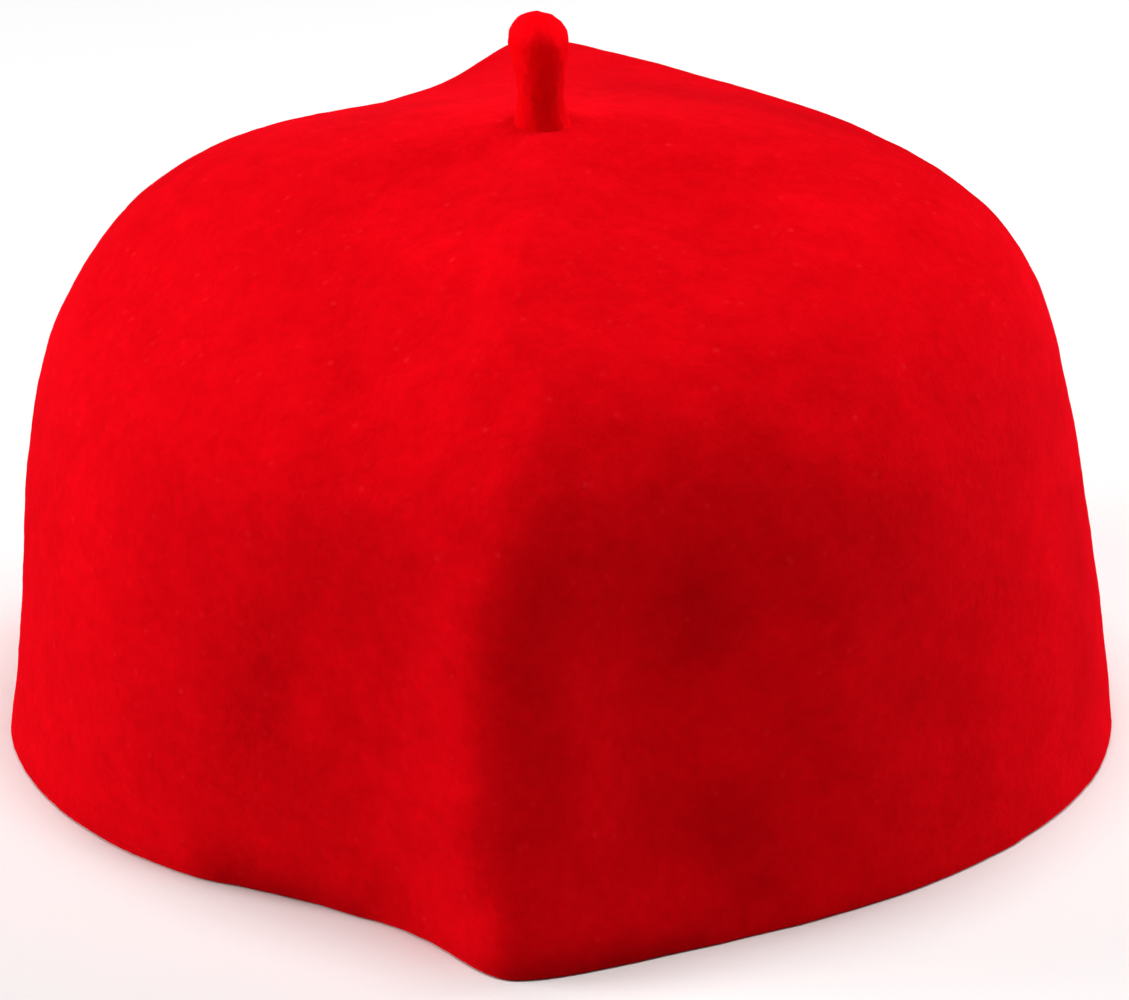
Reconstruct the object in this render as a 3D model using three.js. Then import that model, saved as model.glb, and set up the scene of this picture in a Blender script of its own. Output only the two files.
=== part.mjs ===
// A chief's cap of red wool felt: one soft round crown, open at its rim, and a short felt stalk on top.
// It stands opened out on its rim, as it would on a table. It has been stored folded flat, so a crease
// runs from the rim up its front, over the top under the stalk, and down its back.
// Millimetres, +Z up. The front crease faces -Y and the origin is the middle of the footprint.

import * as THREE from 'three';

// Driving sizes of the crown
const halfWidth = 97; // from the middle to either side of the rim, before the dents
const frontDepth = 81.5; // from the middle to the front of the rim, before the crease stands out
const backDepth = 84; // from the middle to the back of the rim, likewise
const crownHeight = 110; // from the rim up to the seat of the stalk
const crownLean = 1; // how far the top sits to the left of the middle
const feltWall = 2.5; // thickness of the felt everywhere
const frontCrease = 20.7; // how far the front crease stands out at the rim
const backCrease = 21; // how far the back crease stands out at its fullest

const creaseFade = 60; // degrees over which a crease has died away at the far side of the cap

// Driving sizes of the stalk
const stalkLength = 19.5;
const stalkFootRadius = 4.6;
const stalkWaistRadius = 3.9;
const stalkTipRadius = 5.1;
const stalkDome = 4.8; // height of the rounded end
const stalkLean = 0.8; // how far the tip leans to the left of the foot
const seatMargin = 1.4; // flat felt left bare around the foot
const seatGap = 0.3; // clearance between the foot and its seat

// Fineness of the faceted surfaces
const columnsPerSide = 36; // from crease to crease, on each side
const rows = 24; // from the rim to the seat
const creaseCrowding = 0.6; // how much closer the columns stand at the creases, from 0 to 1
const stalkSides = 24;
const stalkRows = 8;
const domeRows = 6;
const azimuthStep = 2.5; // degrees either way, to find which way the felt faces
const riseStep = 0.01; // share of the rise either way, likewise

const seatRadius = stalkFootRadius + seatMargin;

// Sections of the crown from the rim up to the seat. Reach is the share of the plan size, height the
// share of crownHeight: at the two sides of the cap, and at its front and back, where the fold runs.
// frontRidge and backRidge are the shares of frontCrease and backCrease that stand out there.
const SECTIONS = [
  { sideReach: 1, sideHeight: 0, foldReach: 1, foldHeight: 0, frontRidge: 1, backRidge: 0.86 },
  { sideReach: 0.96, sideHeight: 0.275, foldReach: 0.99, foldHeight: 0.28, frontRidge: 0.94, backRidge: 1 },
  { sideReach: 0.92, sideHeight: 0.49, foldReach: 0.97, foldHeight: 0.51, frontRidge: 0.83, backRidge: 0.98 },
  { sideReach: 0.87, sideHeight: 0.665, foldReach: 0.93, foldHeight: 0.675, frontRidge: 0.69, backRidge: 0.84 },
  { sideReach: 0.77, sideHeight: 0.8, foldReach: 0.82, foldHeight: 0.78, frontRidge: 0.52, backRidge: 0.63 },
  { sideReach: 0.585, sideHeight: 0.9, foldReach: 0.62, foldHeight: 0.84, frontRidge: 0.35, backRidge: 0.42 },
  { sideReach: 0.315, sideHeight: 0.96, foldReach: 0.34, foldHeight: 0.91, frontRidge: 0.17, backRidge: 0.21 },
  { sideReach: 0, sideHeight: 1, foldReach: 0, foldHeight: 1, frontRidge: 0, backRidge: 0 },
];

// The two creases. Azimuths are degrees from the front, positive to the right. The runs are how far
// each flank of a crease takes to die away and nose is how blunt its edge is, as shares of halfWidth.
const CREASES = [
  { ridge: 'front', depth: frontCrease, azimuth: 2.5, leftRun: 0.067, rightRun: 0.3, nose: 0.08 },
  { ridge: 'back', depth: backCrease, azimuth: 187, leftRun: 0.43, rightRun: 0.1, nose: 0.058 },
];

// Soft bulges and dents. Width is in degrees, rise and length are shares of the way from rim to seat,
// and depth is a share of halfWidth, positive outwards.
const DENTS = [
  { place: 'right shoulder', azimuth: 70, width: 30, rise: 0.6, length: 0.18, depth: 0.053 },
  { place: 'left shoulder', azimuth: -70, width: 30, rise: 0.6, length: 0.18, depth: -0.053 },
  { place: 'right of the rim', azimuth: 100, width: 30, rise: 0.05, length: 0.2, depth: 0.01 },
  { place: 'left of the rim', azimuth: -100, width: 30, rise: 0.05, length: 0.2, depth: -0.044 },
  { place: 'right front panel', azimuth: 25, width: 13, rise: 0.33, length: 0.1, depth: -0.018 },
  { place: 'right side panel', azimuth: 44, width: 15, rise: 0.2, length: 0.05, depth: -0.01 },
  { place: 'left front panel', azimuth: -18, width: 10, rise: 0.32, length: 0.1, depth: -0.012 },
  { place: 'low on the left side', azimuth: -38, width: 17, rise: 0.12, length: 0.13, depth: 0.028 },
  { place: 'low on the left front', azimuth: -14, width: 17, rise: 0.12, length: 0.13, depth: 0.021 },
  { place: 'low on the right front', azimuth: 14, width: 17, rise: 0.12, length: 0.13, depth: -0.041 },
  { place: 'left of the crease', azimuth: -14, width: 17, rise: 0.36, length: 0.13, depth: 0.057 },
  { place: 'middle of the right side', azimuth: 38, width: 17, rise: 0.36, length: 0.13, depth: 0.047 },
  { place: 'under the left shoulder', azimuth: -62, width: 17, rise: 0.6, length: 0.13, depth: -0.022 },
  { place: 'left front shoulder', azimuth: -38, width: 17, rise: 0.6, length: 0.13, depth: -0.025 },
  { place: 'right front shoulder', azimuth: 38, width: 17, rise: 0.6, length: 0.13, depth: 0.022 },
  { place: 'under the right shoulder', azimuth: 62, width: 17, rise: 0.6, length: 0.13, depth: -0.018 },
  { place: 'top of the crease', azimuth: 0, width: 25, rise: 0.84, length: 0.12, depth: 0.033 },
  { place: 'right of the top', azimuth: 50, width: 25, rise: 0.84, length: 0.12, depth: -0.016 },
];

const radians = THREE.MathUtils.degToRad;

// A smooth curve through one triple of numbers for each section.
function throughSections(first, second, third) {
  const points = SECTIONS.map((s) => new THREE.Vector3(s[first], s[second], s[third]));
  return new THREE.CatmullRomCurve3(points, false, 'catmullrom', 0.5);
}

const sideCurve = throughSections('sideReach', 'sideHeight', 'frontRidge');
const foldCurve = throughSections('foldReach', 'foldHeight', 'backRidge');

// The shorter way round from one azimuth to another, in degrees from -180 to 180.
function turnBetween(from, to) {
  return THREE.MathUtils.euclideanModulo(to - from + 180, 360) - 180;
}

// The crown's outside before it was creased and dented, at an azimuth in degrees and a rise from the
// rim, 0, to the seat, 1. It is round at the seat and grows to its own width and depth at the rim.
function plainPoint(azimuth, rise) {
  const side = sideCurve.getPoint(rise);
  const fold = foldCurve.getPoint(rise);
  const across = Math.sin(radians(azimuth));
  const along = Math.cos(radians(azimuth));
  const reach = side.x * across ** 2 + fold.x * along ** 2;
  const height = side.y * across ** 2 + fold.y * along ** 2;
  const depth = along >= 0 ? frontDepth : backDepth;
  return new THREE.Vector3(
    (seatRadius + (halfWidth - seatRadius) * reach) * across,
    -(seatRadius + (depth - seatRadius) * reach) * along,
    crownHeight * height,
  );
}

// The unit direction that a surface faces at an azimuth and rise, away from the inside of the cap.
function outwards(pointAt, azimuth, rise) {
  const round = pointAt(azimuth + azimuthStep, rise).sub(pointAt(azimuth - azimuthStep, rise));
  const above = pointAt(azimuth, Math.min(rise + riseStep, 1));
  const below = pointAt(azimuth, Math.max(rise - riseStep, 0));
  return round.cross(above.sub(below)).normalize();
}

// How far the two creases push the felt out at a point.
function creaseHeight(radius, azimuth, rise) {
  const ridges = { front: sideCurve.getPoint(rise).z, back: foldCurve.getPoint(rise).z };
  return CREASES.reduce((sum, crease) => {
    const turn = turnBetween(crease.azimuth, azimuth);
    const arc = radius * radians(turn);
    const run = halfWidth * (arc < 0 ? crease.leftRun : crease.rightRun);
    const nose = halfWidth * crease.nose;
    const fall = Math.exp(-(Math.hypot(arc, nose) - nose) / run);
    const fade = THREE.MathUtils.smoothstep(180 - Math.abs(turn), 0, creaseFade);
    return sum + crease.depth * ridges[crease.ridge] * fall * fade;
  }, 0);
}

// How far the bulges and dents push the felt out, or in where it is negative.
function dentHeight(azimuth, rise) {
  return DENTS.reduce((sum, dent) => {
    const round = turnBetween(dent.azimuth, azimuth) / dent.width;
    const up = (rise - dent.rise) / dent.length;
    return sum + halfWidth * dent.depth * Math.exp(-(round ** 2) - up ** 2);
  }, 0);
}

// The crown's outside, creased, dented and leaning a little. Its rim lies flat on the table.
function outerPoint(azimuth, rise) {
  const plain = plainPoint(azimuth, rise);
  const radius = Math.hypot(plain.x, plain.y);
  const push = creaseHeight(radius, azimuth, rise) + dentHeight(azimuth, rise);
  const point = plain.addScaledVector(outwards(plainPoint, azimuth, rise), push);
  if (rise === 0) point.z = 0;
  if (rise === 1) point.z = crownHeight;
  point.x -= crownLean * (point.z / crownHeight);
  return point;
}

// The crown's inside, one thickness of felt behind the outside.
function innerPoint(azimuth, rise) {
  const inwards = outwards(outerPoint, azimuth, rise).negate();
  if (rise === 0) inwards.setZ(0).normalize();
  if (rise === 1) inwards.set(0, 0, -1);
  return outerPoint(azimuth, rise).addScaledVector(inwards, feltWall);
}

// The azimuths of the columns, from the front crease round both sides, closer together at the creases.
function columnAzimuths() {
  const [front, back] = CREASES.map((crease) => crease.azimuth);
  const sides = [{ start: front, sweep: back - front }, { start: back, sweep: 360 - (back - front) }];
  return sides.flatMap(({ start, sweep }) =>
    Array.from({ length: columnsPerSide }, (_, column) => {
      const share = column / columnsPerSide;
      const eased = share - (creaseCrowding * Math.sin(2 * Math.PI * share)) / (2 * Math.PI);
      return start + sweep * eased;
    }),
  );
}

// A closed shell of felt: an outer and an inner skin, joined by a flat rim and closed at the seat.
function crownGeometry() {
  const azimuths = columnAzimuths();
  const columns = azimuths.length;
  const vertices = [];
  for (const skinPoint of [outerPoint, innerPoint]) {
    for (let row = 0; row <= rows; row += 1) {
      vertices.push(...azimuths.map((azimuth) => skinPoint(azimuth, row / rows)));
    }
  }
  const innerStart = (rows + 1) * columns;
  const outerTop = vertices.length;
  vertices.push(new THREE.Vector3(-crownLean, 0, crownHeight));
  const innerTop = vertices.length;
  vertices.push(new THREE.Vector3(-crownLean, 0, crownHeight - feltWall));

  const triangles = [];
  const addQuad = (a, b, c, d) => triangles.push(a, b, c, a, c, d);
  for (let column = 0; column < columns; column += 1) {
    const next = (column + 1) % columns;
    for (let row = 0; row < rows; row += 1) {
      const low = row * columns;
      const high = low + columns;
      addQuad(low + column, low + next, high + next, high + column);
      addQuad(innerStart + low + next, innerStart + low + column, innerStart + high + column, innerStart + high + next);
    }
    const top = rows * columns;
    triangles.push(top + column, top + next, outerTop);
    triangles.push(innerStart + top + next, innerStart + top + column, innerTop);
    addQuad(innerStart + column, innerStart + next, next, column);
  }

  const geometry = new THREE.BufferGeometry().setFromPoints(vertices);
  geometry.setIndex(triangles);
  geometry.computeVertexNormals();
  return geometry;
}

// A short round stalk with a narrow waist and a rounded, slightly wider end, leaning a little.
function stalkGeometry() {
  const domeStart = stalkLength - stalkDome;
  const shaft = new THREE.SplineCurve([
    new THREE.Vector2(stalkFootRadius, 0),
    new THREE.Vector2(stalkWaistRadius, domeStart * 0.4),
    new THREE.Vector2(stalkTipRadius, domeStart),
  ]);
  const dome = new THREE.EllipseCurve(0, domeStart, stalkTipRadius, stalkDome, 0, Math.PI / 2);
  const profile = [new THREE.Vector2(0, 0), ...shaft.getPoints(stalkRows), ...dome.getPoints(domeRows).slice(1)];
  profile.at(-1).x = 0;
  const geometry = new THREE.LatheGeometry(profile, stalkSides);
  geometry.rotateX(Math.PI / 2);
  const lean = new THREE.Matrix4().makeShear(0, 0, 0, 0, -stalkLean / stalkLength, 0);
  return geometry.applyMatrix4(lean);
}

const feltMaterial = (name, color) =>
  new THREE.MeshStandardMaterial({ name, color, roughness: 0.95, metalness: 0 });

const crown = new THREE.Mesh(crownGeometry(), feltMaterial('crown_felt', 0xe0081a));
crown.name = 'crown';

const stalk = new THREE.Mesh(stalkGeometry(), feltMaterial('stalk_felt', 0xd60616));
stalk.name = 'stalk';
stalk.position.set(-crownLean, 0, crownHeight + seatGap);

// The cap, moved so that the middle of its footprint is the origin.
const cap = new THREE.Group();
cap.name = 'felt_cap';
cap.add(crown, stalk);
const footprint = new THREE.Box3().setFromObject(cap);
const middle = footprint.getCenter(new THREE.Vector3());
cap.position.set(-middle.x, -middle.y, 0);
cap.updateMatrixWorld(true);

export default cap;
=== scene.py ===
"""The look of a chief's cap of red wool felt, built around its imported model.

The crown is a flat sheet of felt, moulded over the form of the cap as over a hatter's block, joined at
the back, given its thickness and a soft cut rim. The stalk is a roll of felt, drawn up ring by ring.
Everything is in metres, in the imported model's own frame: +Z up, the front crease towards -Y.
"""

import logging
import math
from dataclasses import astuple, dataclass, field, fields
from enum import Enum

import bpy
import numpy as np
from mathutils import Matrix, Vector


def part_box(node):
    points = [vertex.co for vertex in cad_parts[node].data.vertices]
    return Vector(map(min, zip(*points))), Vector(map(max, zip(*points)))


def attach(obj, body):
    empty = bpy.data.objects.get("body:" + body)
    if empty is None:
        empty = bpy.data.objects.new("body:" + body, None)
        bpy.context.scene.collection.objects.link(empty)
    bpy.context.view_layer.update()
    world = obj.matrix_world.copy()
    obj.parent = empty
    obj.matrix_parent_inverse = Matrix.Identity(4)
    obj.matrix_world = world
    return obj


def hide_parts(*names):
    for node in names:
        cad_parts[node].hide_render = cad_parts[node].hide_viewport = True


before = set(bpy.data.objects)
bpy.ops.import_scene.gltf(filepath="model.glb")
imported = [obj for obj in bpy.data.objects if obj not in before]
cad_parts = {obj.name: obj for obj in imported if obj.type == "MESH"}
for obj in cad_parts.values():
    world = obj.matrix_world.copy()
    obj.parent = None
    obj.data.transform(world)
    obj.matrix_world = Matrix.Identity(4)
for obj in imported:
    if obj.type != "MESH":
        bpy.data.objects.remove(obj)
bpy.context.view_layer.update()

PHOTO_WIDTH = 1129
MM = 0.001
BODY = "root"
# The points' tone: partly the nap's own, partly painted light and shade.
FELT_TONE_AND_PAINTED_LIGHT = "felt_tone_and_painted_light"
# A stroke fades over a third of its length at either end.
ENDS_IN_STROKE = 3
# Points of the flat sheet this close to its edges, as a share of its side, lie on them.
EDGE_SNAP = 1e-5
JOIN_GAP = 0.001 * MM
LEVEL_TOLERANCE = 0.1 * MM
CLOUD_DEPTH = 2
MIDDLE = 0.5

Socket = bpy.types.NodeSocket
Color = tuple[float, float, float]

log = logging.getLogger("felt_cap")


@dataclass(frozen=True)
class NapSizes:
    """The sizes of a felt's patches, tufts and fibres, and how far apart its specks of fluff are, in
    millimetres."""

    patch: float
    tuft: float
    fibre: float
    fluff: float

    def by_input(self) -> dict[str, float]:
        """The sizes, by the names of the felt grain's inputs."""
        return {"Patch": self.patch, "Tuft": self.tuft, "Fibre": self.fibre, "Fluff": self.fluff}


class Nap(Enum):
    """How the fibres of a felt lie."""

    BRUSHED = NapSizes(patch=7.0, tuft=2.0, fibre=0.45, fluff=3.2)
    ROLLED = NapSizes(patch=4.0, tuft=1.4, fibre=0.35, fluff=4.0)


@dataclass(frozen=True)
class Section:
    """A level of the crown. Reaches and heights are shares of the plan size and of the crown's height,
    at its sides and along its fold. The ridges are shares of how far each crease stands out."""

    side_reach: float
    side_height: float
    fold_reach: float
    fold_height: float
    front_ridge: float
    back_ridge: float


@dataclass(frozen=True)
class Crease:
    """A fold line up the crown. Depth is in metres, the azimuth in degrees from the front, and the
    runs of its two flanks and the bluntness of its nose are shares of the half width."""

    depth: float
    azimuth: float
    left_run: float
    right_run: float
    nose: float


@dataclass(frozen=True)
class Dent:
    """A soft swelling, or a dent where its depth is negative. Azimuth and width are in degrees, rise
    and length are shares of the way from rim to seat, and depth is a share of the half width."""

    azimuth: float
    width: float
    rise: float
    length: float
    depth: float


@dataclass(frozen=True)
class Stroke:
    """A soft stroke over the crown. It runs from one place to another, each given by its azimuth in
    degrees and its rise, and fades out towards both. A rise below zero carries it out over the rim. Its
    width is in millimetres. Its amount is how far a fold stands out, in millimetres, or how much lighter
    a mark in the nap is, as a share. A valley or a dark mark has a negative amount."""

    azimuth: float
    rise: float
    end_azimuth: float
    end_rise: float
    width: float
    amount: float


@dataclass(frozen=True)
class Lumps:
    """A pattern of soft lumps. Size is that of one lump, and strength goes from the deepest hollow to
    the highest lump, both in metres."""

    name: str
    size: float
    strength: float


@dataclass(frozen=True)
class Ring:
    """One ring of the stalk, with its radius and its height above the foot in metres."""

    radius: float
    height: float


def smooth_through(rows: np.ndarray, share: np.ndarray) -> np.ndarray:
    """Follow a smooth curve through evenly spaced rows.

    Args:
        rows: One row of numbers for each point that the curve passes through.
        share: How far along the curve to read it, from 0 to 1.

    Returns:
        One row of numbers for each share.
    """
    padded = np.vstack([2 * rows[0] - rows[1], rows, 2 * rows[-1] - rows[-2]])
    place = np.clip(share, 0, 1) * (len(rows) - 1)
    start = np.minimum(place.astype(int), len(rows) - 2)
    step = (place - start)[..., None]
    before, first, second, after = (padded[start + k] for k in range(4))
    leave = (second - before) / 2
    arrive = (after - first) / 2
    cubic = 2 * first - 2 * second + leave + arrive
    square = -3 * first + 3 * second - 2 * leave - arrive
    return ((cubic * step + square) * step + leave) * step + first


def turn_between(start: float, azimuth: np.ndarray) -> np.ndarray:
    """The shorter way round from one azimuth to others, in degrees from -180 to 180."""
    return (azimuth - start + 180) % 360 - 180


def smooth_step(share: np.ndarray) -> np.ndarray:
    """Ease a share in and out, held between 0 and 1."""
    share = np.clip(share, 0, 1)
    return share * share * (3 - 2 * share)


@dataclass(frozen=True)
class HatBlock:
    """The form that the felt is moulded over: the crown's outside, with its creases and dents.

    The sections, the back crease and a few of the dents were fitted to the cap's outline. The front
    crease and the depths of the folds and of most dents were fitted to the shading of its felt. All of
    them were then rounded.
    """

    half_width: float = 97 * MM
    front_depth: float = 81.5 * MM
    back_depth: float = 84 * MM
    height: float = 110 * MM
    lean: float = 1 * MM
    seat_radius: float = 6 * MM
    sections: tuple[Section, ...] = (
        Section(1, 0, 1, 0, 1, 0.86),
        Section(0.96, 0.275, 0.99, 0.28, 0.94, 1),
        Section(0.92, 0.49, 0.97, 0.51, 0.83, 0.98),
        Section(0.87, 0.665, 0.93, 0.675, 0.69, 0.84),
        Section(0.77, 0.8, 0.82, 0.78, 0.52, 0.63),
        Section(0.585, 0.9, 0.62, 0.84, 0.35, 0.42),
        Section(0.315, 0.96, 0.34, 0.91, 0.17, 0.21),
        Section(0, 1, 0, 1, 0, 0),
    )
    front_crease: Crease = Crease(20.7 * MM, 2.5, 0.067, 0.3, 0.08)
    back_crease: Crease = Crease(21 * MM, 187, 0.43, 0.1, 0.058)
    # Degrees round from the far side of the crown over which a crease fades out.
    crease_fade: float = 60
    dents: tuple[Dent, ...] = (
        Dent(70, 30, 0.6, 0.18, 0.053),
        Dent(-70, 30, 0.6, 0.18, -0.053),
        Dent(100, 30, 0.05, 0.2, 0.01),
        Dent(-100, 30, 0.05, 0.2, -0.044),
        Dent(25, 13, 0.33, 0.1, -0.018),
        Dent(44, 15, 0.2, 0.05, -0.01),
        Dent(-18, 10, 0.32, 0.1, -0.012),
        Dent(-38, 17, 0.12, 0.13, 0.028),
        Dent(-14, 17, 0.12, 0.13, 0.021),
        Dent(14, 17, 0.12, 0.13, -0.041),
        Dent(-14, 17, 0.36, 0.13, 0.057),
        Dent(38, 17, 0.36, 0.13, 0.047),
        Dent(-62, 17, 0.6, 0.13, -0.022),
        Dent(-38, 17, 0.6, 0.13, -0.025),
        Dent(38, 17, 0.6, 0.13, 0.022),
        Dent(62, 17, 0.6, 0.13, -0.018),
        Dent(0, 25, 0.84, 0.12, 0.033),
        Dent(50, 25, 0.84, 0.12, -0.016),
    )
    folds: tuple[Stroke, ...] = (
        Stroke(0.5, -0.3, 0.5, 0.38, 3, -0.3),
        Stroke(0.5, 0.31, 0.5, 0.66, 5, -2.5),
        Stroke(2.5, 0, 3, 0.44, 5, -3.5),
        Stroke(16, 0.01, 12.5, 0.45, 8, -4.5),
        Stroke(19, 0.43, 19, 0.21, 9, 0.7),
        Stroke(24, 0.38, 24, 0.24, 3, 0.45),
        Stroke(31, 0.41, 30, 0.24, 6, 1.2),
        Stroke(31, 0.23, 58, 0.15, 2.5, 0.3),
        Stroke(35, 0.18, 54, 0.12, 7, -0.75),
        Stroke(21, 0.16, 19, 0.05, 8, -1.1),
        Stroke(36, 0.18, 34, 0.05, 8, 0.3),
        Stroke(15, 0.53, 14.5, 0.45, 3, -0.2),
        Stroke(49, 0.54, 51, 0.45, 3, -0.4),
        Stroke(-22, 0.34, -22, 0.24, 7, 0.2),
        Stroke(-20, 0.23, -22, 0.12, 7, -0.6),
        Stroke(-32, 0.01, -12.5, 0, 9, -1.4),
        Stroke(-5, 0.15, -6, 0.04, 8, 1.2),
        Stroke(-24, 0.68, -22, 0.53, 4, 0.2),
        Stroke(-16, 0.7, -18, 0.51, 5, -0.4),
        Stroke(10.5, 0.49, 39, 0.46, 10, 1),
        Stroke(34, 0.36, 34, 0.18, 7, 1.3),
    )
    # How far round, in degrees, and up, as a share, the slope of the plain crown is measured.
    slope_turn: float = 2.5
    slope_rise: float = 0.01
    # The way up the crown is measured at this azimuth, in degrees, at this many places.
    climb_azimuth: float = 20.0
    climb_places: int = 101

    def level(self, rise: np.ndarray) -> dict[str, np.ndarray]:
        """Read the sections at each rise.

        Args:
            rise: Share of the way from the rim, 0, to the stalk's seat, 1.

        Returns:
            The numbers of a section, by name, with one value for each rise.
        """
        rows = np.array([astuple(section) for section in self.sections])
        values = smooth_through(rows, rise)
        return {item.name: values[..., column] for column, item in enumerate(fields(Section))}

    def plain(self, azimuth: np.ndarray, rise: np.ndarray) -> np.ndarray:
        """Find points of the crown before it was creased.

        Args:
            azimuth: Degrees from the front, positive to the right.
            rise: Share of the way from the rim, 0, to the stalk's seat, 1.

        Returns:
            One point for each azimuth and rise.
        """
        level = self.level(rise)
        across = np.sin(np.radians(azimuth))
        along = np.cos(np.radians(azimuth))
        reach = level["side_reach"] * across**2 + level["fold_reach"] * along**2
        tall = level["side_height"] * across**2 + level["fold_height"] * along**2
        depth = np.where(along >= 0, self.front_depth, self.back_depth)
        x = (self.seat_radius + (self.half_width - self.seat_radius) * reach) * across
        y = -(self.seat_radius + (depth - self.seat_radius) * reach) * along
        return np.stack([x, y, self.height * tall], axis=-1)

    def outwards(self, azimuth: np.ndarray, rise: np.ndarray) -> np.ndarray:
        """Find which way the plain crown faces.

        Args:
            azimuth: Degrees from the front.
            rise: Share of the way from the rim to the stalk's seat.

        Returns:
            One unit direction for each azimuth and rise.
        """
        turn = self.slope_turn
        round_it = self.plain(azimuth + turn, rise) - self.plain(azimuth - turn, rise)
        above = self.plain(azimuth, np.minimum(rise + self.slope_rise, 1))
        below = self.plain(azimuth, np.maximum(rise - self.slope_rise, 0))
        normal = np.cross(round_it, above - below)
        return normal / np.linalg.norm(normal, axis=-1, keepdims=True)

    def climb(self, rise: np.ndarray) -> np.ndarray:
        """Measure the way up the crown.

        Args:
            rise: Share of the way from the rim to the stalk's seat, below zero under the rim.

        Returns:
            The length of the way up to each rise, carried on in a straight line below the rim.
        """
        steps = np.linspace(0, 1, self.climb_places)
        path = self.plain(np.full(self.climb_places, self.climb_azimuth), steps)
        length = np.concatenate([[0], np.cumsum(np.linalg.norm(np.diff(path, axis=0), axis=1))])
        below = np.minimum(rise, 0) * length[1] / steps[1]
        return np.interp(rise, steps, length) + below

    def stroked(self, strokes: tuple[Stroke, ...], azimuth: np.ndarray, rise: np.ndarray) -> np.ndarray:
        """Add up soft strokes over the crown.

        Args:
            strokes: The strokes.
            azimuth: Degrees from the front.
            rise: Share of the way from the rim to the stalk's seat.

        Returns:
            The sum of the strokes' amounts at each azimuth and rise.
        """
        total = np.zeros_like(azimuth)
        height = self.climb(rise)
        for stroke in strokes:
            middle = (stroke.azimuth + stroke.end_azimuth) / 2
            level = max(stroke.rise + stroke.end_rise, 0) / 2
            where = self.plain(np.array([middle]), np.array([level]))[0]
            radius = math.hypot(where[0], where[1])
            start, end = self.climb(np.array([stroke.rise, stroke.end_rise]))
            run_round = radius * math.radians(stroke.end_azimuth - stroke.azimuth)
            run_up = end - start
            across = radius * np.radians(turn_between(stroke.azimuth, azimuth))
            up = height - start
            share = np.clip((across * run_round + up * run_up) / (run_round**2 + run_up**2), 0, 1)
            gap = np.hypot(across - share * run_round, up - share * run_up)
            fade = smooth_step(np.minimum(share, 1 - share) * ENDS_IN_STROKE)
            total += stroke.amount * fade * np.exp(-(gap / (stroke.width * MM))**2)
        return total

    def push(self, radius: np.ndarray, azimuth: np.ndarray, rise: np.ndarray) -> np.ndarray:
        """Find how far the creases and dents push the felt.

        Args:
            radius: Metres from the crown's upright axis.
            azimuth: Degrees from the front.
            rise: Share of the way from the rim to the stalk's seat.

        Returns:
            Metres outwards, or inwards where it is negative.
        """
        level = self.level(rise)
        creases = (
            (self.front_crease, level["front_ridge"]),
            (self.back_crease, level["back_ridge"]),
        )
        total = np.zeros_like(radius)
        for crease, ridge in creases:
            turn = turn_between(crease.azimuth, azimuth)
            arc = radius * np.radians(turn)
            run = self.half_width * np.where(arc < 0, crease.left_run, crease.right_run)
            nose = self.half_width * crease.nose
            fade = smooth_step((180 - np.abs(turn)) / self.crease_fade)
            total += crease.depth * ridge * fade * np.exp(-(np.hypot(arc, nose) - nose) / run)
        for dent in self.dents:
            round_it = turn_between(dent.azimuth, azimuth) / dent.width
            up = (rise - dent.rise) / dent.length
            total += self.half_width * dent.depth * np.exp(-(round_it**2) - up**2)
        return total

    def outer(self, azimuth: np.ndarray, rise: np.ndarray) -> np.ndarray:
        """Find points of the finished outside of the crown, with its rim flat on the table.

        Args:
            azimuth: Degrees from the front.
            rise: Share of the way from the rim to the stalk's seat.

        Returns:
            One point for each azimuth and rise.
        """
        plain = self.plain(azimuth, rise)
        push = self.push(np.hypot(plain[..., 0], plain[..., 1]), azimuth, rise)
        push += self.stroked(self.folds, azimuth, rise) * MM
        points = plain + self.outwards(azimuth, rise) * push[..., None]
        points[..., 2] = np.where(rise <= 0, 0, np.where(rise >= 1, self.height, points[..., 2]))
        points[..., 0] -= self.lean * points[..., 2] / self.height
        return points


def select_only(piece: bpy.types.Object) -> None:
    """Make a piece the only selected and active object.

    Args:
        piece: The piece.
    """
    bpy.ops.object.select_all(action="DESELECT")
    piece.select_set(True)
    bpy.context.view_layer.objects.active = piece


def set_felt_tone_and_painted_light(piece: bpy.types.Object, tone: np.ndarray) -> None:
    """Keep how much lighter the felt is at each point of a mesh, painted light and shade included."""
    attribute = piece.data.attributes.new(FELT_TONE_AND_PAINTED_LIGHT, "FLOAT", "POINT")
    attribute.data.foreach_set("value", tone.astype(np.float32))


def set_points(piece: bpy.types.Object, points: np.ndarray) -> None:
    """Move all the points of a mesh."""
    piece.data.vertices.foreach_set("co", points.astype(np.float32).ravel())
    piece.data.update()


def get_points(piece: bpy.types.Object) -> np.ndarray:
    """Read all the points of a mesh.

    Args:
        piece: The piece whose mesh it is.

    Returns:
        The points, one row each.
    """
    points = np.empty(len(piece.data.vertices) * 3, np.float32)
    piece.data.vertices.foreach_get("co", points)
    return points.reshape(-1, 3).astype(float)


def select_edge_loop(piece: bpy.types.Object, height: float) -> None:
    """In edit mode, select the open edges that lie at a height.

    Args:
        piece: The piece that is being edited.
        height: The height of the edges, in metres.
    """
    bpy.ops.mesh.select_mode(type="EDGE")
    bpy.ops.mesh.select_all(action="DESELECT")
    bpy.ops.mesh.select_non_manifold(extend=False, use_wire=False, use_boundary=True,
                                     use_multi_face=False, use_non_contiguous=False, use_verts=False)
    bpy.ops.object.mode_set(mode="OBJECT")
    vertices = piece.data.vertices
    for edge in piece.data.edges:
        if edge.select and abs(vertices[edge.vertices[0]].co.z - height) > LEVEL_TOLERANCE:
            edge.select = False
    bpy.ops.object.mode_set(mode="EDIT")


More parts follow.
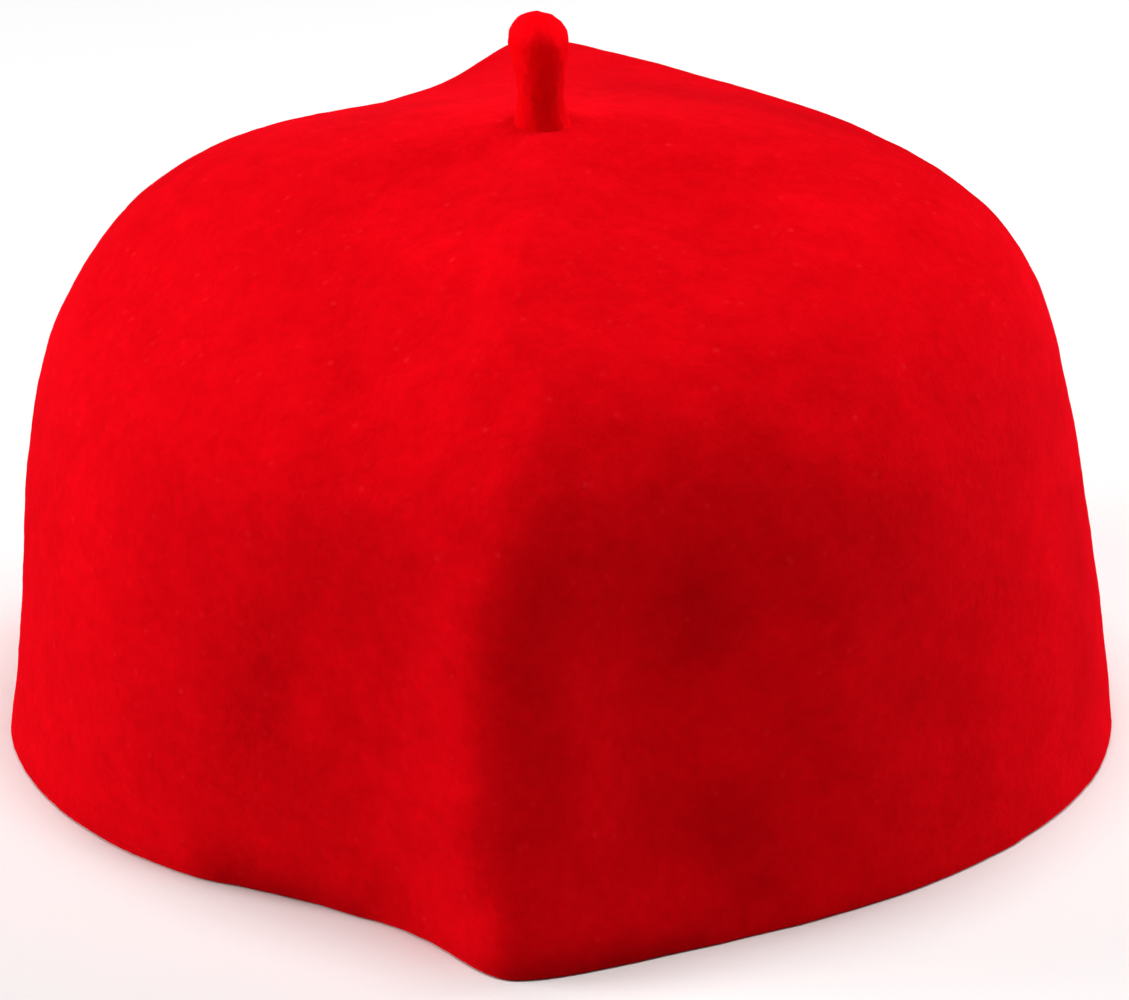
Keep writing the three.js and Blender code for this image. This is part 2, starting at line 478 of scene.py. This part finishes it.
def apply_modifier(piece: bpy.types.Object, kind: str, name: str, **settings: object) -> None:
    """Add a modifier to a piece and apply it.

    Args:
        piece: The piece, which becomes the active object.
        kind: Blender's name for the modifier's type.
        name: The modifier's own name.
        **settings: Its settings, by Blender's names.
    """
    select_only(piece)
    modifier = piece.modifiers.new(name, kind)
    for setting, value in settings.items():
        setattr(modifier, setting, value)
    bpy.ops.object.modifier_apply(modifier=modifier.name)


def roughen(piece: bpy.types.Object, patterns: tuple[Lumps, ...]) -> None:
    """Push a surface in and out by patterns of soft lumps, one after another.

    Args:
        piece: The piece to roughen.
        patterns: The patterns of lumps.
    """
    for lumps in patterns:
        clouds = bpy.data.textures.new(lumps.name, "CLOUDS")
        clouds.noise_scale = lumps.size
        clouds.noise_depth = CLOUD_DEPTH
        apply_modifier(piece, "DISPLACE", lumps.name, texture=clouds, texture_coords="LOCAL",
                       strength=lumps.strength)


def dress(piece: bpy.types.Object, finish: bpy.types.Material) -> None:
    """Shade a piece smooth and give it its finish.

    Args:
        piece: The piece.
        finish: The material that it is made of.
    """
    select_only(piece)
    bpy.ops.object.shade_smooth()
    piece.data.materials.append(finish)


@dataclass(frozen=True)
class MixKind:
    """What a Mix node mixes, and the numbers of the sockets that it uses for that."""

    data_type: str
    first: int
    second: int
    result: int


MIX_NUMBERS = MixKind("FLOAT", first=2, second=3, result=0)
MIX_COLORS = MixKind("RGBA", first=6, second=7, result=2)

class Nodes:
    """A small helper that adds nodes to a tree and joins them."""

    def __init__(self, tree: bpy.types.NodeTree) -> None:
        """Start on a node tree."""
        self.tree = tree

    def add(self, kind: str, **settings: object) -> bpy.types.Node:
        """Add a node.

        Args:
            kind: Blender's name for the kind of node.
            **settings: Its settings, by Blender's names.

        Returns:
            The new node.
        """
        node = self.tree.nodes.new(kind)
        for setting, value in settings.items():
            setattr(node, setting, value)
        return node

    def feed(self, value: Socket | float | tuple[float, ...], target: Socket) -> None:
        """Give an input its value.

        Args:
            value: An output to follow, or a number or colour that stays the same.
            target: The input.
        """
        if isinstance(value, Socket):
            self.tree.links.new(value, target)
        else:
            target.default_value = value

    def reckon(self, operation: str, first: Socket | float, second: Socket | float) -> Socket:
        """Work out a number from two others.

        Args:
            operation: Blender's name for the operation.
            first: The first number.
            second: The second number.

        Returns:
            The result.
        """
        node = self.add("ShaderNodeMath", operation=operation)
        self.feed(first, node.inputs[0])
        self.feed(second, node.inputs[1])
        return node.outputs["Value"]

    def mix(self, kind: MixKind, first: Socket | tuple[float, ...], second: Socket | tuple[float, ...],
            share: Socket | float) -> Socket:
        """Mix two numbers or two colours.

        Args:
            kind: What is mixed.
            first: The first of them.
            second: The second of them.
            share: The second one's share of the mix.

        Returns:
            The mix.
        """
        node = self.add("ShaderNodeMix", data_type=kind.data_type)
        self.feed(share, node.inputs["Factor"])
        self.feed(first, node.inputs[kind.first])
        self.feed(second, node.inputs[kind.second])
        return node.outputs[kind.result]

    def spread(self, value: Socket, low: float, high: float, **settings: object) -> Socket:
        """Spread part of a number's range over 0 to 1.

        Args:
            value: The number.
            low: The value that becomes 0.
            high: The value that becomes 1.
            **settings: The node's settings, by Blender's names.

        Returns:
            The number over its new range.
        """
        node = self.add("ShaderNodeMapRange", **settings)
        self.feed(low, node.inputs["From Min"])
        self.feed(high, node.inputs["From Max"])
        self.feed(value, node.inputs["Value"])
        return node.outputs["Result"]


class Group(Nodes):
    """A shader node group with number inputs and number outputs."""

    def __init__(self, name: str, inputs: dict[str, float], outputs: tuple[str, ...]) -> None:
        """Start a group.

        Args:
            name: The group's name.
            inputs: Its inputs, by name, with their usual values.
            outputs: The names of its outputs.
        """
        super().__init__(bpy.data.node_groups.new(name, "ShaderNodeTree"))
        for label, value in inputs.items():
            socket = self.tree.interface.new_socket(label, in_out="INPUT", socket_type="NodeSocketFloat")
            socket.default_value = value
        for label in outputs:
            self.tree.interface.new_socket(label, in_out="OUTPUT", socket_type="NodeSocketFloat")
        self.start = self.add("NodeGroupInput")
        self.end = self.add("NodeGroupOutput")


@dataclass(frozen=True)
class FeltGrain:
    """The grain that all the felt shares: broad patches, soft tufts, tangled fibres and sparse fluff.
    Each share is that of the finer of two patterns. A speck reaches as far as its edge, a share of the
    way to the next, and specks are missing where a random number is below rare_from."""

    tuft_share: float = 0.5
    fibre_share: float = 0.12
    fibre_height: float = 0.35
    speck_edge: float = 0.27
    rare_from: float = 0.4
    rare_to: float = 0.9

    def noise(self, group: Group, label: str, detail: float, distortion: float) -> Socket:
        """Add a noise whose lumps are as large as one of the group's inputs says.

        Args:
            group: The group that it is part of.
            label: The name of the input.
            detail: How many finer layers it has.
            distortion: How far its lumps are drawn out of shape.

        Returns:
            The noise.
        """
        place = group.add("ShaderNodeTexCoord")
        node = group.add("ShaderNodeTexNoise")
        group.feed(detail, node.inputs["Detail"])
        group.feed(distortion, node.inputs["Distortion"])
        group.feed(place.outputs["Object"], node.inputs["Vector"])
        group.feed(self.per_metre(group, label), node.inputs["Scale"])
        return node.outputs["Fac"]

    def per_metre(self, group: Group, label: str) -> Socket:
        """How many lumps of an input's size, in millimetres, there are to a metre."""
        return group.reckon("DIVIDE", 1 / MM, group.start.outputs[label])

    def specks(self, group: Group) -> Socket:
        """Add the sparse specks of fluff.

        Args:
            group: The group that they are part of.

        Returns:
            How strong the fluff is, 0 between the specks.
        """
        place = group.add("ShaderNodeTexCoord")
        cells = group.add("ShaderNodeTexVoronoi")
        group.feed(place.outputs["Object"], cells.inputs["Vector"])
        group.feed(self.per_metre(group, "Fluff"), cells.inputs["Scale"])
        speck = group.spread(cells.outputs["Distance"], self.speck_edge, 0.0,
                             interpolation_type="SMOOTHSTEP")
        rare = group.spread(cells.outputs["Color"], self.rare_from, self.rare_to)
        return group.reckon("MULTIPLY", speck, rare)

    def build(self) -> bpy.types.NodeTree:
        """Build the node group.

        Returns:
            A group with the inputs Patch, Tuft, Fibre and Fluff, in millimetres, and the outputs
            Mottle and Height, which are about 0.5 on average, and Fluff, 0 apart from its specks.
        """
        group = Group("felt_grain", Nap.BRUSHED.value.by_input(), ("Mottle", "Height", "Fluff"))
        patches = self.noise(group, "Patch", detail=2, distortion=0.4)
        tufts = self.noise(group, "Tuft", detail=3, distortion=0.6)
        fibres = self.noise(group, "Fibre", detail=4, distortion=2.2)
        soft = group.mix(MIX_NUMBERS, patches, tufts, self.tuft_share)
        mottle = group.mix(MIX_NUMBERS, soft, fibres, self.fibre_share)
        height = group.mix(MIX_NUMBERS, tufts, fibres, self.fibre_height)
        group.feed(mottle, group.end.inputs["Mottle"])
        group.feed(height, group.end.inputs["Height"])
        group.feed(self.specks(group), group.end.inputs["Fluff"])
        return group.tree


@dataclass(frozen=True)
class Felt:
    """A finish of dyed wool felt, matt, with a short nap that catches the light at a glancing angle.
    The tone kept on the piece's points, partly the nap's own and partly painted light and shade, makes
    the dye lighter or darker there."""

    name: str
    nap: Nap
    dark: Color
    bright: Color
    fluff: Color = (0.95, 0.02, 0.03)
    fluff_share: float = 0.32
    relief: float = 0.2 * MM
    relief_strength: float = 1.0
    contrast: float = 1.35
    roughness: float = 1.0
    gloss: float = 0.0
    sheen: float = 0.5
    sheen_roughness: float = 0.5
    sheen_tint: Color = (1.0, 0.01, 0.025)

    def dyed(self, nodes: Nodes, texture: bpy.types.Node) -> Socket:
        """Colour the felt by its grain, its fluff and its tone, which holds painted light and shade.

        Args:
            nodes: The material's nodes.
            texture: The felt grain.

        Returns:
            The felt's colour.
        """
        reach = 0.5 / self.contrast
        mottle = nodes.spread(texture.outputs["Mottle"], MIDDLE - reach, MIDDLE + reach)
        dye = nodes.mix(MIX_COLORS, (*self.dark, 1), (*self.bright, 1), mottle)
        sparse = nodes.reckon("MULTIPLY", texture.outputs["Fluff"], self.fluff_share)
        fluffy = nodes.mix(MIX_COLORS, dye, (*self.fluff, 1), sparse)
        marks = nodes.add("ShaderNodeAttribute", attribute_name=FELT_TONE_AND_PAINTED_LIGHT)
        toned = nodes.add("ShaderNodeHueSaturation")
        nodes.feed(nodes.reckon("POWER", math.e, marks.outputs["Fac"]), toned.inputs["Value"])
        nodes.feed(fluffy, toned.inputs["Color"])
        return toned.outputs["Color"]

    def make(self, grain: bpy.types.NodeTree) -> bpy.types.Material:
        """Build the material.

        Args:
            grain: The felt grain group.

        Returns:
            A new material with this finish.
        """
        material = bpy.data.materials.new(self.name)
        material.use_nodes = True
        material.node_tree.nodes.clear()
        nodes = Nodes(material.node_tree)
        texture = nodes.add("ShaderNodeGroup", node_tree=grain)
        for label, size in self.nap.value.by_input().items():
            nodes.feed(size, texture.inputs[label])
        bump = nodes.add("ShaderNodeBump")
        nodes.feed(self.relief_strength, bump.inputs["Strength"])
        nodes.feed(self.relief, bump.inputs["Distance"])
        nodes.feed(texture.outputs["Height"], bump.inputs["Height"])
        cloth = nodes.add("ShaderNodeBsdfPrincipled")
        nodes.feed(self.roughness, cloth.inputs["Roughness"])
        nodes.feed(self.gloss, cloth.inputs["Specular IOR Level"])
        nodes.feed(self.sheen, cloth.inputs["Sheen Weight"])
        nodes.feed(self.sheen_roughness, cloth.inputs["Sheen Roughness"])
        nodes.feed((*self.sheen_tint, 1), cloth.inputs["Sheen Tint"])
        nodes.feed(self.dyed(nodes, texture), cloth.inputs["Base Color"])
        nodes.feed(bump.outputs["Normal"], cloth.inputs["Normal"])
        result = nodes.add("ShaderNodeOutputMaterial")
        nodes.feed(cloth.outputs["BSDF"], result.inputs["Surface"])
        return material


@dataclass
class FeltCrown:
    """The cap's body: one seamless piece of felt, open at its cut rim.

    Points below the rim's slack are set down on the table. The marks in the nap make the felt lighter or
    darker in strokes. Much of this is painted light and shade, such as painted shade along the rim and
    behind the stalk.
    """

    block: HatBlock
    finish: bpy.types.Material
    wall: float = 2.5 * MM
    columns: int = 320
    rows: int = 130
    crease_crowding: float = 0.55
    seat_ring: float = 0.4
    rim_slack: float = 0.35 * MM
    rim_round: float = 0.8 * MM
    rim_segments: int = 3
    rim_angle: float = 50
    lumps: tuple[Lumps, ...] = (
        Lumps("felt_lumps", 14 * MM, 0.7 * MM),
        Lumps("felt_tufts", 4 * MM, 0.25 * MM),
    )
    name: str = "felt_crown"
    # Strokes of painted light and shade, with some of the nap's own tone.
    nap_and_painted_light_marks: tuple[Stroke, ...] = (
        Stroke(0, 0.5, 0, 0.05, 5, 0.1),
        Stroke(5, 0.45, 5, 0.05, 4, -0.1),
        Stroke(10, 0.35, 10, 0.05, 5, 0.15),
        Stroke(18, 0.4, 20, 0.2, 6, -0.2),
        Stroke(22, 0.15, 25, 0, 6, -0.2),
        Stroke(30, 0.2, 55, 0.2, 6, 0.05),
        # Painted shade along the bottom of the rim.
        Stroke(-5, 0, 25, 0, 4, -0.4),
        Stroke(-35, 0, -8, 0, 5, -0.3),
        Stroke(-15, 0.3, -15, 0.1, 7, 0.1),
        Stroke(-23, 0.3, -23, 0.1, 5, -0.1),
        Stroke(-55, 0.45, -50, 0.15, 10, 0.1),
        Stroke(72, 0.4, 72, 0.15, 8, 0.1),
        Stroke(70, 0.85, 60, 0.6, 9, 0.1),
        Stroke(-60, 0.9, 5, 0.75, 7, 0.1),
        Stroke(0, 0.9, 0, 0.7, 4, 0.1),
        Stroke(85, 0.3, 75, 0, 10, -0.15),
        # Painted shade behind the stalk.
        Stroke(185, 0.85, 110, 0.7, 9, -0.2),
        Stroke(200, 0.85, 265, 0.85, 8, -0.15),
    )

    def azimuths(self, share: np.ndarray) -> np.ndarray:
        """Place the sheet's columns round the crown, closer together at the two creases.

        Args:
            share: How far across the sheet each point lies, from 0 to 1.

        Returns:
            Azimuths round the whole crown, from its back.
        """
        front = self.block.front_crease.azimuth
        back = self.block.back_crease.azimuth
        left_side = share < MIDDLE
        along = np.where(left_side, share, share - MIDDLE) * 2
        eased = along - self.crease_crowding * np.sin(2 * math.pi * along) / (2 * math.pi)
        start = np.where(left_side, back, front)
        sweep = np.where(left_side, 360 - (back - front), back - front)
        return start + sweep * eased

    def build(self) -> bpy.types.Object:
        """Mould, close, roughen and thicken the felt.

        Returns:
            The finished crown.
        """
        bpy.ops.object.select_all(action="DESELECT")
        bpy.ops.mesh.primitive_grid_add(x_subdivisions=self.columns, y_subdivisions=self.rows, size=1)
        piece = bpy.context.object
        piece.name = self.name
        self.mould(piece)
        self.close(piece)
        roughen(piece, self.lumps)
        self.flatten_rim(piece)
        apply_modifier(piece, "SOLIDIFY", "thickness", thickness=self.wall, offset=-1, use_rim=True)
        self.flatten_rim(piece)
        apply_modifier(piece, "BEVEL", "soft_cut", width=self.rim_round, segments=self.rim_segments,
                       limit_method="ANGLE", angle_limit=math.radians(self.rim_angle),
                       harden_normals=False)
        dress(piece, self.finish)
        return piece

    def mould(self, piece: bpy.types.Object) -> None:
        """Pull the flat sheet over the block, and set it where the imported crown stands.

        Args:
            piece: The sheet, one metre square and centred.
        """
        flat = get_points(piece)
        share = flat[:, 0] + MIDDLE
        rise = flat[:, 1] + MIDDLE
        rise = np.where(rise < EDGE_SNAP, 0, np.where(rise > 1 - EDGE_SNAP, 1, rise))
        azimuth = self.azimuths(share)
        points = self.block.outer(azimuth, rise)
        low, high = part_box("crown")
        middle = (points.min(axis=0) + points.max(axis=0)) / 2
        points[:, 0] += (low.x + high.x) / 2 - middle[0]
        points[:, 1] += (low.y + high.y) / 2 - middle[1]
        set_points(piece, points)
        set_felt_tone_and_painted_light(piece, self.block.stroked(self.nap_and_painted_light_marks, azimuth, rise))

    def close(self, piece: bpy.types.Object) -> None:
        """Join the sheet at the back and close it under the stalk.

        Args:
            piece: The moulded sheet.
        """
        select_only(piece)
        bpy.ops.object.mode_set(mode="EDIT")
        bpy.ops.mesh.select_all(action="SELECT")
        bpy.ops.mesh.remove_doubles(threshold=JOIN_GAP)
        select_edge_loop(piece, self.block.height)
        bpy.ops.mesh.extrude_edges_move()
        bpy.ops.transform.resize(value=(self.seat_ring, self.seat_ring, 1))
        bpy.ops.mesh.extrude_edges_move()
        bpy.ops.mesh.merge(type="COLLAPSE")
        bpy.ops.object.mode_set(mode="OBJECT")

    def flatten_rim(self, piece: bpy.types.Object) -> None:
        """Set the open rim down flat on the table.

        Args:
            piece: The crown.
        """
        points = get_points(piece)
        low = points[:, 2] < self.rim_slack
        points[low, 2] = 0
        set_points(piece, points)


@dataclass
class FeltStalk:
    """The short felt stalk: a tight roll with a narrow waist and a blunt, rounded end. Its foot sinks
    a little into the crown. The waist's place is a share of the shaft, and painted light makes the tip
    lighter between two shares of the whole length."""

    finish: bpy.types.Material
    length: float = 19.5 * MM
    foot_radius: float = 4.5 * MM
    foot_flare: float = 0.5 * MM
    flare_height: float = 2 * MM
    foot_sink: float = 1.2 * MM
    waist_radius: float = 3.9 * MM
    waist_share: float = 0.4
    tip_radius: float = 5.1 * MM
    dome: float = 4.8 * MM
    lean: float = 0.8 * MM
    sides: int = 64
    shaft_rings: int = 26
    dome_rings: int = 10
    # Painted light: how much lighter the felt is made at the tip.
    tip_painted_light: float = 0.1
    tone_from: float = 0.5
    tone_to: float = 0.75
    lumps: tuple[Lumps, ...] = (
        Lumps("stalk_lumps", 3.5 * MM, 0.7 * MM),
        Lumps("stalk_tufts", 1.4 * MM, 0.25 * MM),
    )
    name: str = "felt_stalk"

    def shaft_radius(self, share: float) -> float:
        """Find how thick the shaft is, without the flare of its foot.

        Args:
            share: How far up the shaft, from 0 to 1.

        Returns:
            The radius there.
        """
        if share < self.waist_share:
            ease = (1 - math.cos(math.pi * share / self.waist_share)) / 2
            return self.foot_radius + (self.waist_radius - self.foot_radius) * ease
        ease = (1 - math.cos(math.pi * (share - self.waist_share) / (1 - self.waist_share))) / 2
        return self.waist_radius + (self.tip_radius - self.waist_radius) * ease

    def profile(self) -> list[Ring]:
        """List the rings of the stalk.

        Returns:
            The rings, from the foot to just short of the tip.
        """
        dome_start = self.length + self.foot_sink - self.dome
        rings = []
        for ring in range(self.shaft_rings + 1):
            share = ring / self.shaft_rings
            height = dome_start * share
            flare = self.foot_flare * math.exp(-height / self.flare_height)
            rings.append(Ring(self.shaft_radius(share) + flare, height))
        for ring in range(1, self.dome_rings):
            angle = math.pi / 2 * ring / self.dome_rings
            height = dome_start + self.dome * math.sin(angle)
            rings.append(Ring(self.tip_radius * math.cos(angle), height))
        return rings

    def draw_up(self, piece: bpy.types.Object, foot: Vector, rings: list[Ring]) -> None:
        """Draw a flat round foot up into the stalk, ring by ring, and close it at the tip.

        Args:
            piece: The round foot.
            foot: The middle of it.
            rings: The rings, the first of which is the foot's own edge.
        """
        select_only(piece)
        bpy.ops.object.mode_set(mode="EDIT")
        bpy.ops.mesh.select_all(action="SELECT")
        for ring, above in zip(rings, rings[1:]):
            rise = above.height - ring.height
            slide = -self.lean * rise / self.length
            bpy.ops.mesh.extrude_region_move(TRANSFORM_OT_translate={"value": (slide, 0, rise)})
            centre = foot + Vector((-self.lean * above.height / self.length, 0, above.height))
            ratio = above.radius / ring.radius
            bpy.ops.transform.resize(value=(ratio, ratio, 1), center_override=centre)
        bpy.ops.mesh.poke()
        bpy.ops.mesh.select_all(action="SELECT")
        bpy.ops.mesh.normals_make_consistent(inside=False)
        bpy.ops.object.mode_set(mode="OBJECT")

    def build(self) -> bpy.types.Object:
        """Cut the foot, draw it up, tone the tip and roughen the felt.

        Returns:
            The finished stalk.
        """
        low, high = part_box("stalk")
        foot = Vector(((low.x + high.x) / 2, (low.y + high.y) / 2, low.z - self.foot_sink))
        foot.x += self.lean / 2
        rings = self.profile()
        bpy.ops.object.select_all(action="DESELECT")
        bpy.ops.mesh.primitive_circle_add(vertices=self.sides, radius=rings[0].radius, fill_type="NGON",
                                          location=foot)
        piece = bpy.context.object
        piece.name = self.name
        bpy.ops.object.transform_apply(location=True, rotation=True, scale=True)
        self.draw_up(piece, foot, rings)
        # Painted light: the felt grows lighter towards the tip.
        share = (get_points(piece)[:, 2] - foot.z) / self.length
        tone = smooth_step((share - self.tone_from) / (self.tone_to - self.tone_from))
        set_felt_tone_and_painted_light(piece, self.tip_painted_light * tone)
        roughen(piece, self.lumps)
        dress(piece, self.finish)
        return piece


@dataclass(frozen=True)
class SoftLight:
    """A large soft lamp, aimed at the cap. Its azimuth and elevation are in degrees, its distance and
    size in metres and its power in watts."""

    name: str
    azimuth: float
    elevation: float
    distance: float
    size: float
    power: float


@dataclass
class Studio:
    """The plain pale floor, the soft lamps and the camera. The room gives no light of its own. The
    camera and the powers of the lamps were fitted to the photograph, and the front lamp was then
    dimmed a little."""

    target: Vector = field(default_factory=lambda: Vector((0.194, 0, 40.08)) * MM)
    azimuth: float = 6.0
    elevation: float = 24.0
    distance: float = 1.2
    focal_pixels: float = 6931.7
    sensor_mm: float = 36.0
    nearest_seen: float = 0.05
    farthest_seen: float = 50
    floor_size: float = 12.0
    floor_color: Color = (0.86, 0.86, 0.86)
    floor_roughness: float = 0.9
    floor_gloss: float = 0.1
    room_light: float = 0.0
    lamps: tuple[SoftLight, ...] = (
        SoftLight("lamp_above", 0, 88, 1.3, 0.7, 14.9),
        SoftLight("lamp_left", -90, 14, 1.3, 0.7, 12.6),
        SoftLight("lamp_right", 125, 20, 1.3, 0.7, 11.9),
        SoftLight("lamp_front", 0, 40, 1.3, 0.7, 0.6),
    )

    def towards(self, azimuth: float, elevation: float) -> Vector:
        """Find the direction from the cap towards a place around it.

        Args:
            azimuth: Degrees from the front.
            elevation: Degrees above the table.

        Returns:
            The unit direction.
        """
        turn = math.radians(azimuth)
        tilt = math.radians(elevation)
        return Vector((math.sin(turn) * math.cos(tilt), -math.cos(turn) * math.cos(tilt), math.sin(tilt)))

    def build_camera(self) -> None:
        """Set the camera at the photograph's angle."""
        back = self.towards(self.azimuth, self.elevation)
        camera = bpy.data.objects.new("camera", bpy.data.cameras.new("camera"))
        camera.data.sensor_width = self.sensor_mm
        camera.data.lens = self.sensor_mm * self.focal_pixels / PHOTO_WIDTH
        camera.data.clip_start = self.nearest_seen
        camera.data.clip_end = self.farthest_seen
        camera.location = self.target + back * self.distance
        camera.rotation_euler = back.to_track_quat("Z", "Y").to_euler()
        bpy.context.collection.objects.link(camera)
        bpy.context.scene.camera = camera

    def build_floor(self) -> None:
        """Lay the pale floor."""
        bpy.ops.object.select_all(action="DESELECT")
        bpy.ops.mesh.primitive_plane_add(size=self.floor_size, location=(0, 0, 0))
        floor = bpy.context.object
        floor.name = "floor"
        paper = bpy.data.materials.new("floor_paper")
        paper.use_nodes = True
        shader = paper.node_tree.nodes["Principled BSDF"]
        shader.inputs["Base Color"].default_value = (*self.floor_color, 1)
        shader.inputs["Roughness"].default_value = self.floor_roughness
        shader.inputs["Specular IOR Level"].default_value = self.floor_gloss
        floor.data.materials.append(paper)

    def build_lamps(self) -> None:
        """Hang the soft lamps and set the light of the room."""
        for lamp in self.lamps:
            data = bpy.data.lights.new(lamp.name, "AREA")
            data.shape = "DISK"
            data.size = lamp.size
            data.energy = lamp.power
            light = bpy.data.objects.new(lamp.name, data)
            direction = self.towards(lamp.azimuth, lamp.elevation)
            light.location = self.target + direction * lamp.distance
            light.rotation_euler = direction.to_track_quat("Z", "Y").to_euler()
            light.visible_camera = False
            bpy.context.collection.objects.link(light)
        world = bpy.data.worlds.new("room")
        world.use_nodes = True
        world.node_tree.nodes["Background"].inputs["Strength"].default_value = self.room_light
        bpy.context.scene.world = world
        bpy.context.scene.view_settings.view_transform = "Standard"

    def build(self) -> None:
        """Build the whole studio."""
        self.build_camera()
        self.build_floor()
        self.build_lamps()


def main() -> None:
    """Build the studio and the cap, and say what each piece stands for."""
    logging.basicConfig(level=logging.INFO, format="%(name)s: %(message)s")
    Studio().build()
    grain = FeltGrain().build()
    crown_felt = Felt("crown_felt", Nap.BRUSHED, dark=(0.53, 0.0003, 0.002), bright=(0.84, 0.0015, 0.006))
    # Painted light: the stalk's red is a lighter copy of the crown's, for light the lamps give it too
    # little of.
    stalk_felt = Felt("stalk_felt", Nap.ROLLED, dark=(0.86, 0.0003, 0.002), bright=(1.0, 0.0015, 0.006))
    block = HatBlock()
    crown = FeltCrown(block, crown_felt.make(grain)).build()
    stalk = FeltStalk(stalk_felt.make(grain)).build()
    for piece, node, slot in ((crown, "crown", "crown_felt"), (stalk, "stalk", "stalk_felt")):
        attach(piece, BODY)
        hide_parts(node)
        log.info("%s stands for %s: %d faces", piece.name, node, len(piece.data.polygons))


if __name__ == "__main__":
    main()
